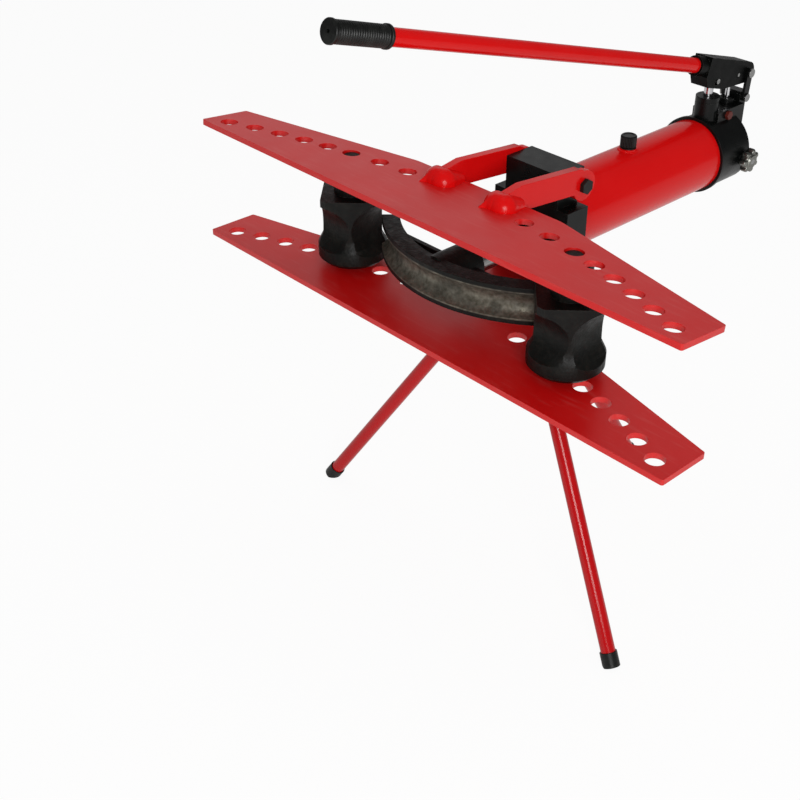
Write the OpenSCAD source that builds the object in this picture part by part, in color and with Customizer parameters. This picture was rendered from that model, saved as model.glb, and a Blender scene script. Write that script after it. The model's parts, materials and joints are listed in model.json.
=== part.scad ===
// Hydraulic pipe bender: two wing plates, a ram with a bending former, a hand pump and a three-legged stand
// Frame of every module: lower plate's top face at z = 0, its front edge at y = 0, pump towards +Y

/* [Wing plates] */
// Length of both wing plates, tip to tip
plate_l = 1080; // [1060:10:1160]
// Thickness of both wing plates
plate_t = 10; // [8:1:12]
// Width of a plate at its tips
plate_tip_w = 99; // [90:1:120]
// Width of a plate at its middle
plate_mid_w = 190; // [185:1:205]
// Length of the straight rear edge at the middle
plate_flat_l = 330; // [300:10:380]
// Corner radius at the plate tips
tip_r = 4; // [2:1:20]
// Corner radius where the rear edge bends
bend_r = 90; // [40:5:140]
// Width of the tongue that carries the head block
tongue_w = 170; // [160:1:200]
// Reach of the tongue behind the front edge
tongue_reach = 368; // [362:1:400]

/* [Roller holes] */
// Radius of each roller hole
hole_r = 16; // [15.6:0.1:17]
// Holes in each wing
hole_count = 8; // [6:1:9]
// Distance of the innermost hole from the middle
hole_first_x = 134; // [130:1:140]
// Distance between the three inner holes
hole_wide_pitch = 61; // [58:1:64]
// Distance of the outermost hole from the plate's tip
hole_tip = 39; // [30:1:50]
// Distance of the hole arc from the front edge, at the middle
hole_arc_y = 144; // [138:1:150]
// Distance of the outermost hole from the front edge
hole_front = 32.3; // [28:0.1:40]

/* [Rollers] */
// Width of a roller across the flats between its grooves
roller_w = 106; // [102:1:108]
// Radius of a roller over its grooves
roller_corner_r = 68; // [64:1:69]
// Radius of a roller's round base
roller_base_r = 63; // [60:1:66]
// Height of the round base
roller_base_h = 30; // [24:1:34]
// Height of the slope from the base to the flats
roller_slope_h = 20; // [14:1:24]
// Chamfer under the base
roller_chamfer = 8; // [4:1:12]
// Height of the base over the lower plate
roller_foot_h = 12; // [8:1:16]
// Height of a roller's top over the middle of its grooves
roller_over = 58; // [56:1:62]
// Radii of the pipe grooves, one on each side of a roller
roller_groove_r = [60, 56, 52, 48];
// Distance of each groove's floor from the roller's axis
roller_floor = 38.5; // [38.5:0.5:42]
// Radius of a roller's neck
roller_neck_r = 32; // [26:1:32]
// Radius of the roller trunnions
trunnion_r = 15; // [13:0.1:15.2]

/* [Bending former] */
// Bend radius at the middle of the pipe
former_r = 290; // [270:1:310]
// Radius of the pipe that fits the groove
pipe_r = 25; // [22:0.5:28]
// Wall of the rim behind the groove
former_wall = 17; // [12:1:22]
// Wall of the rim over and under the groove
former_lip = 8; // [6:1:10]
// Distance of the groove's mouth behind the middle of the pipe
former_mouth = 10; // [6:1:14]
// Half of the angle that the rim covers
former_half_angle = 42; // [38:1:43]
// Distance of the pipe's middle from the front edge, at the apex
former_apex_y = 42; // [36:1:52]
// Thickness of the web behind the rim
former_web_t = 18; // [12:1:24]
// Radius of the boss that takes the ram
former_boss_r = 36; // [32:1:40]
// Length of the boss
former_boss_l = 80; // [70:1:90]

/* [Head block and arms] */
// Width of the head block
block_w = 170; // [160:1:180]
// Front face of the head block, behind the front edge
block_y = 302; // [300:1:310]
// Depth of the head block, front to rear
block_d = 52; // [48:1:60]
// Height of the shoulders
block_shoulder_z = 152; // [145:1:155]
// Height of the tongue between the arms
block_top_z = 214; // [210:1:225]
// Distance between the two arms
arm_gap = 122; // [116:1:128]
// Thickness of an arm
arm_t = 16; // [12:1:20]
// Height of an arm over the upper plate
arm_top = 32; // [28:1:40]
// Depth of an arm below the upper plate's top face
arm_below = 13; // [11:1:16]
// Reach of an arm from the hinge to its nose
arm_reach = 215; // [205:1:225]
// Length of the sloped nose
arm_nose_l = 55; // [40:1:70]
// Height of the nose at its tip
arm_nose_h = 18; // [12:1:24]
// Radius of the eye round the hinge bolt
arm_eye_r = 27; // [22:1:30]
// Radius of the hinge bolts
hinge_bolt_r = 8; // [6:0.5:10]
// Hinge axis behind the front edge
hinge_y = 349.5; // [345:0.5:352]
// Height of the hinge axis
hinge_z = 188; // [184:1:190]
// Angle at which the upper plate rests on the rollers
plate_tilt = 5.5; // [4:0.1:7]

/* [Hydraulic cylinder] */
// Height of the barrel's axis
axis_z = 103; // [98:1:106]
// Outer radius of the barrel
barrel_r = 69; // [66:1:70]
// Wall of the barrel
barrel_wall = 6; // [4:1:8]
// Length of the barrel
barrel_l = 419; // [400:1:440]
// Radius of the collar at the rear of the barrel
collar_r = 75; // [73:0.5:80]
// Width of that collar
collar_w = 8; // [6:1:16]
// Inner radius of the pressure tube
tube_r = 32; // [31:0.5:34]
// Wall of the pressure tube
tube_wall = 8; // [6:1:10]
// Gap between the pressure tube and the bottom of the barrel
tube_floor_gap = 2; // [1:0.5:4]
// Radius of the ram
ram_r = 25; // [22:0.5:26]
// Radius of the ram's nose in the former
nose_r = 20; // [16:0.5:21]
// Length of the ram's nose
nose_l = 60; // [50:1:62]
// Length of the ram from the former to the piston
ram_l = 385; // [370:1:400]
// Length of the piston
piston_l = 30; // [26:1:36]
// Width of the seals
seal_w = 8; // [5:1:10]
// Turns of the return spring
spring_turns = 18; // [12:1:20]
// Radius of the spring wire
spring_wire_r = 1.6; // [1.2:0.1:1.8]
// Filler cap behind the block's rear face
filler_y = 208; // [150:1:260]
// Radius of the filler cap
filler_r = 15; // [12:0.5:18]
// Height of the filler cap
filler_h = 24; // [18:1:30]

/* [Hand pump] */
// Radius of the pump body
body_r = 71.5; // [70:0.5:74]
// Length of the pump body's round part
body_l = 96; // [90:1:100]
// Chamfer at the rear of the pump body
body_chamfer = 12; // [6:1:20]
// Large piston behind the body's front face
large_y = 24; // [24:1:28]
// Radius of the large piston
large_r = 8.75; // [7:0.25:9.5]
// Height of the large piston's gland, over the axis
large_top = 113; // [108:1:116]
// Radius of the large piston's gland
large_gland_r = 23; // [18:0.5:24]
// Radius of the small piston
small_r = 4.75; // [4:0.25:6]
// Height of the deck that carries the small piston, over the axis
deck_up = 84; // [80:1:88]
// Width of that deck
deck_w = 60; // [56:1:64]
// Radius of the small piston's gland
small_gland_r = 15; // [12:0.5:16]
// Height of a gland
gland_h = 10; // [8:1:12]
// Release valve behind the body's front face
release_y = 68; // [60:1:70]
// Release valve below the axis
release_drop = 7; // [0:1:20]
// Radius of the star knob
knob_r = 25; // [20:1:30]
// Thickness of the star knob
knob_t = 18; // [12:1:22]
// Lobes of the star knob
knob_lobes = 7; // [5:1:8]

/* [Lever and handle] */
// Fulcrum of the lever behind the body's front face
fulcrum_y = 120; // [118:1:124]
// Height of the fulcrum over the axis
fulcrum_up = 140.5; // [138:0.5:146]
// Small piston's distance from the fulcrum
small_arm = 30; // [28:1:34]
// Radius of the fulcrum pin
fulcrum_r = 7; // [6:0.5:8]
// Angle of the pin line at rest
pin_line = 2.4; // [0:0.1:5]
// Angle of the handle at rest
handle_angle = 15.9; // [14:0.1:18]
// Width of the lever
lever_w = 40; // [36:1:44]
// Thickness of a lever cheek
cheek_t = 9.5; // [8:0.5:10.5]
// Radius of the lever's rear end
lever_end_r = 20; // [18:1:24]
// Length from the fulcrum to the front of the socket
socket_reach = 160; // [150:1:190]
// Outer radius of the socket
socket_r = 18.5; // [17:0.5:21]
// Outer radius of the handle tube
handle_r = 14; // [12:0.5:15]
// Wall of the handle tube
handle_wall = 2.5; // [2:0.5:4]
// Length from the fulcrum to the end of the grip
handle_reach = 1071; // [900:1:1200]
// Length of the grip
grip_l = 113; // [100:1:150]
// Radius of the grip between its flanges
grip_r = 17; // [16:0.5:19]
// Radius of the grip's flanges
grip_flange_r = 18.5; // [18:0.5:24]
// Ribs on the grip
grip_ribs = 22; // [8:1:26]

/* [Stand] */
// Height of the lower plate's top face over the floor
stand_h = 580; // [500:5:650]
// Hub of the stand behind the front edge
hub_y = 280; // [276:1:286]
// Radius of the hub plate
hub_r = 62; // [58:1:64]
// Thickness of the hub plate
hub_t = 10; // [8:1:14]
// Lean of a leg from upright
leg_splay = 33.2; // [28:0.1:36]
// How far the front legs point forward of sideways
leg_forward = 18; // [10:1:30]
// Radius of a leg
leg_r = 13.5; // [11:0.5:15]
// Wall of a leg
leg_wall = 2.5; // [2:0.5:4]
// Distance of a leg's line from the hub axis, at the plate's top face
leg_start = 30; // [26:1:36]
// Length of a leg socket
leg_socket_l = 62; // [50:1:80]
// Wall of a leg socket
leg_socket_wall = 4.5; // [3:0.5:6]
// Length of a foot cap
foot_l = 28; // [24:1:60]
// Wall of a foot cap
foot_wall = 2.5; // [2:0.5:4]

/* [Fits] */
// Radial clearance of pins and shafts that turn or slide
run_gap = 0.05; // [0.02:0.01:0.08]
// Clearance between faces that move past each other
side_gap = 0.5; // [0.3:0.1:0.8]
// Gap under a piece that rests on a moving face
seat_gap = 0.3; // [0.2:0.1:0.5]
// Clearance of a piston's pin in its slot
slot_gap = 0.9; // [0.8:0.1:1.2]

/* [Hidden] */
cut = 1;
$fn = 64;

// Paint and metal colours
red = [0.78, 0.06, 0.06];
black = [0.07, 0.07, 0.08];
steel = [0.72, 0.72, 0.74];
rubber = [0.04, 0.04, 0.04];
plug_red = [0.45, 0.16, 0.14];

// Holes and rollers
wide_steps = 2;
hole_last_x = plate_l / 2 - hole_tip;
hole_pitch = (hole_last_x - hole_first_x - hole_wide_pitch * wide_steps) / (hole_count - 1 - wide_steps);
hole_arc_r = hole_last_x * hole_last_x / (2 * (hole_arc_y - hole_front));
function hole_x(i) =
    hole_first_x + hole_wide_pitch * min(i, wide_steps) + hole_pitch * max(i - wide_steps, 0);
function hole_y(x) = hole_arc_y - x * x / (2 * hole_arc_r);
roller_hole = 2;
roller_x = hole_x(roller_hole);
roller_y = hole_y(roller_x);

// Upper plate, drawn flat round the hinge and then tilted
upper_dy = (roller_y - hinge_y + plate_t / 2 * sin(plate_tilt)) / cos(plate_tilt) - roller_y;
function under_z(y) = hinge_z - (plate_t + (y - hinge_y) * sin(plate_tilt)) / cos(plate_tilt);
roller_top = under_z(roller_y + roller_neck_r) - seat_gap;

// Cylinder and ram, along y, low in the barrel so that the oil stands over them
ram_z = axis_z - barrel_r + barrel_wall + tube_floor_gap + tube_wall + tube_r;
block_rear = block_y + block_d;
barrel_rear = block_rear + barrel_l;
boss_front = former_apex_y + pipe_r + former_wall / 2;
boss_rear = boss_front + former_boss_l;
piston_front = boss_rear + ram_l;
gland_groove_r = ram_r + seal_w;

// Hand pump
large_pos = barrel_rear + large_y;
fulcrum_pos = barrel_rear + fulcrum_y;
small_pos = fulcrum_pos - small_arm;
large_arm = fulcrum_pos - large_pos;
fulcrum_z = axis_z + fulcrum_up;
large_pin_z = fulcrum_z + large_arm * tan(pin_line);
small_pin_z = fulcrum_z + small_arm * tan(pin_line);
large_pin_r = 5;
small_pin_r = 3.5;
large_foot_up = 37;
small_foot_up = 42;
large_foot_z = axis_z + large_foot_up;
small_foot_z = axis_z + small_foot_up;
stroke_angle = 18;
deck_z = axis_z + deck_up;
small_top = deck_up + gland_h;
lug_w = lever_w;
lug_d = 20;
lug_ahead = 14;
lug_y = fulcrum_pos - lug_ahead;
deck_over = 3;
deck_rear = small_pos + small_gland_r + deck_over;
deck_foot_up = 32;
deck_foot_z = axis_z + deck_foot_up;
link_t = 6;
link_w = 16;
link_pin_r = 6;
link_pin_z = deck_z + link_w / 2 + side_gap;
lug_over = 12;
lug_top_z = link_pin_z + lug_over;
port_r = 2.5;
port_up = 3;
port_z = axis_z + port_up;
release_r = 6;
release_z = axis_z - release_drop;
release_pos = barrel_rear + release_y;
valve_boss_r = 14;
valve_boss_over = 4;
valve_boss_x = body_r + valve_boss_over;
knob_x = valve_boss_x + side_gap;

// Stand
hub_z = -plate_t;
leg_top_drop = 18;
leg_top_z = hub_z - hub_t - leg_top_drop;
leg_angles = [180 + leg_forward, -leg_forward, 90];

// The object stands on z = 0, centred under its box
grip_front = fulcrum_pos - handle_reach * cos(handle_angle) - grip_flange_r * sin(handle_angle);
box_mid_y = (grip_front + fulcrum_pos + lever_end_r) / 2;
module on_floor() translate([0, -box_mid_y, stand_h]) children();

// Corner of an outline rounded to radius r, as points on its arc
function unit(v) = v / norm(v);
function corner(a, b, c, r, steps = 8) =
    let (
        u = unit(a - b),
        v = unit(c - b),
        half = acos(u * v) / 2,
        middle = b + unit(u + v) * r / sin(half),
        first = b + u * r / tan(half) - middle,
        last = b + v * r / tan(half) - middle,
        turn = atan2(first.x * last.y - first.y * last.x, first * last)
    )
    [for (i = [0:steps]) let (t = turn * i / steps)
        middle + [first.x * cos(t) - first.y * sin(t), first.x * sin(t) + first.y * cos(t)]];
function rounded(points, radii) =
    let (n = len(points))
    [for (i = [0:n - 1])
        each corner(points[(i + n - 1) % n], points[i], points[(i + 1) % n], radii[i])];

// Pieces that repeat
module along_y(y, z = axis_z) translate([0, y, z]) rotate([-90, 0, 0]) children();
module along_ram(y) along_y(y, ram_z) children();
module along_x(x, y, z) translate([x, y, z]) rotate([0, 90, 0]) children();
module tilted() translate([0, hinge_y, hinge_z]) rotate([-plate_tilt, 0, 0]) children();
module ring(outer, inner, h) difference() {
    cylinder(r = outer, h = h);
    translate([0, 0, -cut]) cylinder(r = inner, h = h + 2 * cut);
}
module hex(flats, h) cylinder(r = flats / sqrt(3), h = h, $fn = 6);
module upright(width, outline) translate([-width / 2, 0, 0]) rotate([90, 0, 90])
    linear_extrude(width) polygon(outline);

module wing() {
    half = plate_l / 2;
    flat = plate_flat_l / 2;
    difference() {
        linear_extrude(plate_t) polygon(rounded(
            [[-half, 0], [half, 0], [half, plate_tip_w],
                [flat, plate_mid_w], [-flat, plate_mid_w], [-half, plate_tip_w]],
            [tip_r, tip_r, tip_r, bend_r, bend_r, tip_r]));
        for (side = [-1, 1], i = [0:hole_count - 1])
            translate([side * hole_x(i), hole_y(hole_x(i)), -cut])
                cylinder(r = hole_r, h = plate_t + 2 * cut);
    }
}

// Bolts under the lower plate
block_bolt_r = 6;
block_bolt_x = 58;
block_bolt_depth = 30;
hub_bolt_r = 5;
hub_bolt_edge = 13;
hub_bolt_pcr = hub_r - hub_bolt_edge;
hub_bolt_cover = 2;
hub_bolt_depth = plate_t - hub_bolt_cover;
hub_bolt_angles = [36, 144, 270];
module at_block_bolts() for (side = [-1, 1])
    translate([side * block_bolt_x, block_y + block_d / 2, 0]) children();
module at_hub_bolts() for (a = hub_bolt_angles)
    translate([hub_bolt_pcr * cos(a), hub_y + hub_bolt_pcr * sin(a), 0]) children();

module lower_plate() color(red) on_floor() difference() {
    translate([0, 0, -plate_t]) union() {
        wing();
        translate([-tongue_w / 2, plate_mid_w - cut, 0])
            cube([tongue_w, tongue_reach - plate_mid_w + cut, plate_t]);
    }
    at_block_bolts() translate([0, 0, -plate_t - cut]) cylinder(r = block_bolt_r, h = plate_t + 2 * cut);
    at_hub_bolts() translate([0, 0, -plate_t - cut]) cylinder(r = hub_bolt_r, h = hub_bolt_depth + cut);
}

module upper_plate() color(red) on_floor() tilted() translate([0, upper_dy, -plate_t]) wing();

arm_rear_share = 0.6;
arm_rear_up_share = 0.7;
module arm(side) color(red) on_floor() tilted() translate([side * (arm_gap + arm_t) / 2, 0, 0]) difference() {
    plate_rear = upper_dy + plate_mid_w;
    union() {
        upright(arm_t, [
            [-arm_reach, 0], [-arm_reach, arm_nose_h], [-arm_reach + arm_nose_l, arm_top],
            [-arm_eye_r * arm_rear_share, arm_top],
            [arm_eye_r * arm_rear_share, arm_eye_r * arm_rear_up_share],
            [0, 0], [0, -arm_below],
            [plate_rear, -arm_below], [plate_rear, 0]]);
        along_x(-arm_t / 2, 0, 0) cylinder(r = arm_eye_r, h = arm_t);
    }
    along_x(-arm_t / 2 - cut, 0, 0) cylinder(r = hinge_bolt_r + run_gap, h = arm_t + 2 * cut);
}
module left_arm() arm(-1);
module right_arm() arm(1);

hinge_bolt_depth = 28;
module at_hinge_bolts() for (side = [0, 1]) mirror([side, 0, 0])
    along_x(arm_gap / 2 - side_gap - hinge_bolt_depth, hinge_y, hinge_z) children();
block_tongue_w = arm_gap - 2 * side_gap;
ear_z = axis_z + barrel_r + side_gap;

module head_block() color(black) on_floor() difference() {
    union() {
        translate([-block_w / 2, block_y, 0]) cube([block_w, block_d, block_shoulder_z]);
        translate([-block_tongue_w / 2, block_y, 0]) cube([block_tongue_w, block_d, block_top_z]);
        // Ear behind the block, over the barrel, that the hinge bolts run in
        translate([-block_tongue_w / 2, block_y, ear_z])
            cube([block_tongue_w, hinge_y - block_y + hinge_bolt_r * 2, block_top_z - ear_z]);
    }
    along_ram(block_y - cut) cylinder(r = ram_r + run_gap, h = block_d + 2 * cut);
    along_ram(block_y - cut) cylinder(r = gland_groove_r, h = seal_w + cut);
    at_hinge_bolts() cylinder(r = hinge_bolt_r, h = hinge_bolt_depth + cut);
    at_block_bolts() translate([0, 0, -cut]) cylinder(r = block_bolt_r, h = block_bolt_depth + cut);
}

bolt_head_h = 8;
hex_flats = 3;
module block_bolts() color(black) on_floor() at_block_bolts() {
    translate([0, 0, -plate_t]) cylinder(r = block_bolt_r, h = plate_t + block_bolt_depth);
    translate([0, 0, -plate_t - bolt_head_h]) hex(block_bolt_r * hex_flats, bolt_head_h);
}

module hinge_bolts() color(black) on_floor() at_hinge_bolts() {
    cylinder(r = hinge_bolt_r, h = hinge_bolt_depth + arm_t + 2 * side_gap);
    translate([0, 0, hinge_bolt_depth + arm_t + 2 * side_gap]) hex(hinge_bolt_r * hex_flats, bolt_head_h);
}

filler_pos = block_rear + filler_y;
filler_stem_r = 10;
filler_lip = 2;
filler_neck_r = filler_r + filler_lip;
filler_neck_h = 3;
filler_seal_t = 2;
module barrel() color(red) on_floor() difference() {
    union() {
        along_y(block_rear) cylinder(r = barrel_r, h = barrel_l);
        translate([0, filler_pos, axis_z]) cylinder(r = filler_neck_r, h = barrel_r + filler_neck_h);
    }
    along_y(block_rear - cut) cylinder(r = barrel_r - barrel_wall, h = barrel_l + 2 * cut);
    translate([0, filler_pos, axis_z])
        cylinder(r = filler_stem_r + run_gap, h = barrel_r + filler_neck_h + cut);
}

module collar_ring() color(black) on_floor() along_y(barrel_rear - collar_w)
    ring(collar_r, barrel_r, collar_w);

module pressure_tube() color(steel) on_floor() along_ram(block_rear)
    ring(tube_r + tube_wall, tube_r, barrel_l);

module ram_gland() color(steel) on_floor() along_ram(block_y)
    ring(gland_groove_r, ram_r + run_gap, seal_w);

module ram() color(steel) on_floor() {
    along_ram(boss_rear) cylinder(r = ram_r, h = ram_l);
    along_ram(boss_rear - nose_l) cylinder(r = nose_r, h = nose_l);
}

seal_depth = 4;
module ram_piston() color(steel) on_floor() along_ram(piston_front) difference() {
    cylinder(r = tube_r - run_gap, h = piston_l);
    translate([0, 0, (piston_l - seal_w) / 2]) ring(tube_r + cut, tube_r - seal_depth, seal_w);
}

module piston_seal() color(rubber) on_floor() along_ram(piston_front + (piston_l - seal_w) / 2)
    ring(tube_r - run_gap, tube_r - seal_depth, seal_w);

// Return spring: one wire wound round the ram, between the head block and the piston
spring_coil_r = (ram_r + tube_r) / 2;
spring_l = piston_front - block_rear - 2 * (seat_gap + spring_wire_r);
spring_sides = 6;
spring_rings = 12;
module return_spring() color(steel) on_floor() along_ram(block_rear + seat_gap + spring_wire_r) {
    steps = spring_turns * spring_rings;
    points = [for (i = [0:steps], j = [0:spring_sides - 1])
        let (
            turn = 360 * i / spring_rings,
            side = 360 * j / spring_sides,
            r = spring_coil_r + spring_wire_r * cos(side)
        )
        [r * cos(turn), r * sin(turn), spring_l * i / steps + spring_wire_r * sin(side)]];
    walls = [for (i = [0:steps - 1], j = [0:spring_sides - 1])
        let (
            a = i * spring_sides + j,
            b = i * spring_sides + (j + 1) % spring_sides
        )
        each [[a, b, b + spring_sides], [a, b + spring_sides, a + spring_sides]]];
    start = [for (j = [1:spring_sides - 2]) [0, j + 1, j]];
    tail = steps * spring_sides;
    end = [for (j = [1:spring_sides - 2]) [tail, tail + j, tail + j + 1]];
    polyhedron(points, concat(walls, start, end));
}

window_gap = 8;
window_in_x = former_boss_r + window_gap;
window_out_x = 112;
window_in_front = 14;
window_out_front = 36;
window_rear = 26;
rim_back_r = former_r - pipe_r - former_wall;
rim_half_h = pipe_r + former_lip;
module former() color(black) on_floor() translate([0, former_apex_y + former_r, ram_z]) difference() {
    union() {
        rotate([0, 0, -90 - former_half_angle]) rotate_extrude(angle = 2 * former_half_angle) difference() {
            translate([rim_back_r, -rim_half_h])
                square([pipe_r + former_wall - former_mouth, 2 * rim_half_h]);
            translate([former_r, 0]) circle(r = pipe_r);
        }
        // Web between the rim and the boss, a slice of a disc cut off behind
        translate([0, 0, -former_web_t / 2]) intersection() {
            cylinder(r = rim_back_r + former_wall / 2, h = former_web_t);
            translate([-former_r, -former_r, 0])
                cube([2 * former_r, boss_rear - former_apex_y - former_wall, former_web_t]);
        }
        translate([0, boss_front - former_apex_y - former_r, 0]) rotate([-90, 0, 0])
            cylinder(r = former_boss_r, h = former_boss_l);
    }
    translate([0, boss_rear - nose_l - former_apex_y - former_r, 0]) rotate([-90, 0, 0])
        cylinder(r = nose_r, h = nose_l + cut);
    // Windows in the web
    web_back = boss_rear - former_apex_y - former_r - window_rear;
    for (side = [0, 1]) mirror([side, 0, 0])
        translate([0, 0, -former_web_t]) linear_extrude(2 * former_web_t) polygon([
            [window_in_x, window_in_front - rim_back_r], [window_out_x, window_out_front - rim_back_r],
            [window_out_x, web_back], [window_in_x, web_back]]);
}

trunnion_taper = 1;
trunnion_share = 0.6;
trunnion_top = under_z(roller_y) + plate_t * trunnion_share;
module roller(side) color(black) on_floor() translate([side * roller_x, roller_y, 0]) {
    base_z = roller_foot_h + roller_chamfer;
    slope_z = roller_foot_h + roller_base_h;
    body_top = ram_z + roller_over;
    difference() {
        union() {
            translate([0, 0, base_z]) cylinder(r = roller_base_r, h = slope_z - base_z);
            translate([0, 0, slope_z]) cylinder(r1 = roller_base_r, r2 = roller_w / 2, h = roller_slope_h);
            intersection() {
                translate([0, 0, slope_z]) cylinder(r = roller_corner_r, h = body_top - slope_z);
                rotate([0, 0, 45]) translate([-roller_w / 2, -roller_w / 2, 0])
                    cube([roller_w, roller_w, body_top + cut]);
            }
        }
        for (i = [0:3]) rotate([0, 0, 90 * i])
            translate([roller_floor + roller_groove_r[i], roller_corner_r + cut, ram_z]) rotate([90, 0, 0])
                cylinder(r = roller_groove_r[i], h = 2 * (roller_corner_r + cut));
    }
    translate([0, 0, roller_foot_h])
        cylinder(r1 = roller_base_r - roller_chamfer, r2 = roller_base_r, h = roller_chamfer);
    translate([0, 0, seat_gap]) cylinder(r = roller_neck_r, h = roller_foot_h - seat_gap);
    translate([0, 0, body_top]) cylinder(r = roller_neck_r, h = roller_top - body_top);
    translate([0, 0, -plate_t]) cylinder(r = trunnion_r, h = plate_t + seat_gap);
    translate([0, 0, roller_top])
        cylinder(r1 = trunnion_r, r2 = trunnion_r - trunnion_taper, h = trunnion_top - roller_top);
}
module left_roller() roller(-1);
module right_roller() roller(1);

filler_base_z = axis_z + barrel_r + filler_neck_h;
knurl_count = 30;
knurl_r = 0.8;
module filler_cap() color(black) on_floor() translate([0, filler_pos, filler_base_z]) {
    translate([0, 0, -barrel_wall - filler_neck_h])
        cylinder(r = filler_stem_r, h = barrel_wall + filler_neck_h + filler_seal_t + cut);
    translate([0, 0, filler_seal_t]) difference() {
        cylinder(r = filler_r, h = filler_h - filler_seal_t);
        for (i = [0:knurl_count - 1]) rotate([0, 0, 360 * i / knurl_count])
            translate([filler_r, 0, -cut]) cylinder(r = knurl_r, h = filler_h);
    }
}

module filler_seal() color(rubber) on_floor() translate([0, filler_pos, filler_base_z])
    ring(filler_r, filler_stem_r + run_gap, filler_seal_t);

// Pump body with the piston bores, the ports between them and a lug behind it for the links
module pump_body() color(black) on_floor() difference() {
    union() {
        along_y(barrel_rear) rotate_extrude() polygon([
            [0, 0], [body_r, 0], [body_r, body_l - body_chamfer],
            [body_r - body_chamfer, body_l], [0, body_l]]);
        translate([-deck_w / 2, large_pos, deck_foot_z])
            cube([deck_w, deck_rear - large_pos, deck_z - deck_foot_z]);
        translate([0, large_pos, axis_z]) cylinder(r = large_gland_r, h = large_top - gland_h);
        translate([-lug_w / 2 + side_gap, lug_y, deck_foot_z])
            cube([lug_w - 2 * side_gap, lug_d, lug_top_z - deck_foot_z]);
        along_x(0, release_pos, release_z) cylinder(r = valve_boss_r, h = valve_boss_x);
    }
    translate([0, large_pos, large_foot_z - seat_gap]) cylinder(r = large_r + run_gap, h = large_top);
    translate([0, small_pos, small_foot_z - seat_gap]) cylinder(r = small_r + run_gap, h = small_top);
    translate([0, large_pos, large_seat_z])
        cylinder(r = large_ball_r + run_gap, h = large_foot_z - large_seat_z);
    translate([0, small_pos, small_seat_z])
        cylinder(r = small_ball_r + run_gap, h = small_foot_z - small_seat_z);
    translate([0, large_pos, port_z]) cylinder(r = port_r, h = large_foot_z - port_z);
    translate([0, small_pos, port_z]) cylinder(r = port_r, h = small_foot_z - port_z);
    along_y(barrel_rear - cut, port_z) cylinder(r = port_r, h = small_pos - barrel_rear + cut);
    along_x(release_tip_x, release_pos, release_z) cylinder(r = release_r + run_gap, h = valve_boss_x);
    along_x(plug_x - plug_depth, plug_y, plug_z) cylinder(r = plug_r, h = plug_depth + cut);
    along_x(-lug_w, link_pin_y, link_pin_z) cylinder(r = link_pin_r, h = 2 * lug_w);
}

// Check balls on their seats under the pistons
large_ball_r = 4.6;
small_ball_r = 3.4;
large_seat_up = 16;
small_seat_up = 24;
large_seat_z = axis_z + large_seat_up;
small_seat_z = axis_z + small_seat_up;
function ball_z(seat, r) = seat + sqrt(r * r - port_r * port_r);
module check_balls() color(steel) on_floor() {
    translate([0, large_pos, ball_z(large_seat_z, large_ball_r)]) sphere(r = large_ball_r);
    translate([0, small_pos, ball_z(small_seat_z, small_ball_r)]) sphere(r = small_ball_r);
}

module large_gland() color(black) on_floor() translate([0, large_pos, axis_z + large_top - gland_h])
    ring(large_gland_r, large_r + run_gap, gland_h);
module small_gland() color(black) on_floor() translate([0, small_pos, axis_z + small_top - gland_h])
    ring(small_gland_r, small_r + run_gap, gland_h);

head_over = 9;
small_head_r = 7.5;
module large_piston() color(steel) on_floor() difference() {
    translate([0, large_pos, large_foot_z]) cylinder(r = large_r, h = large_pin_z + head_over - large_foot_z);
    along_x(-lever_w, large_pos, large_pin_z) cylinder(r = large_pin_r, h = 2 * lever_w);
}
module small_piston() color(steel) on_floor() difference() {
    union() {
        translate([0, small_pos, small_foot_z]) cylinder(r = small_r, h = small_pin_z - small_foot_z);
        translate([0, small_pos, small_pin_z - head_over]) cylinder(r = small_head_r, h = 2 * head_over);
    }
    along_x(-lever_w, small_pos, small_pin_z) cylinder(r = small_pin_r, h = 2 * lever_w);
}
pin_l = lever_w - 2 * side_gap;
module large_piston_pin() color(steel) on_floor() along_x(-pin_l / 2, large_pos, large_pin_z)
    cylinder(r = large_pin_r, h = pin_l);
module small_piston_pin() color(steel) on_floor() along_x(-pin_l / 2, small_pos, small_pin_z)
    cylinder(r = small_pin_r, h = pin_l);

plug_r = 5;
plug_depth = 14;
plug_head = 15;
plug_head_h = 7;
plug_x = deck_w / 2;
plug_back = 30;
plug_drop = 10;
plug_y = large_pos + plug_back;
plug_z = deck_z - plug_drop;
module valve_plug() color(plug_red) on_floor() along_x(plug_x, plug_y, plug_z) {
    translate([0, 0, -plug_depth]) cylinder(r = plug_r, h = plug_depth);
    rotate([0, 0, 30]) hex(plug_head, plug_head_h);
}

release_tip_x = 22;
module release_stem() color(steel) on_floor() along_x(release_tip_x + seat_gap, release_pos, release_z)
    cylinder(r = release_r, h = knob_x + knob_t - release_tip_x - seat_gap);
lobe_r = knob_r / 4;
module release_knob() color(steel) on_floor() along_x(knob_x, release_pos, release_z) difference() {
    linear_extrude(knob_t) union() {
        circle(r = knob_r - lobe_r);
        for (i = [0:knob_lobes - 1]) rotate(360 * i / knob_lobes)
            translate([knob_r - lobe_r, 0]) circle(r = lobe_r);
    }
    translate([0, 0, -cut]) cylinder(r = release_r, h = knob_t + 2 * cut);
}

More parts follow.
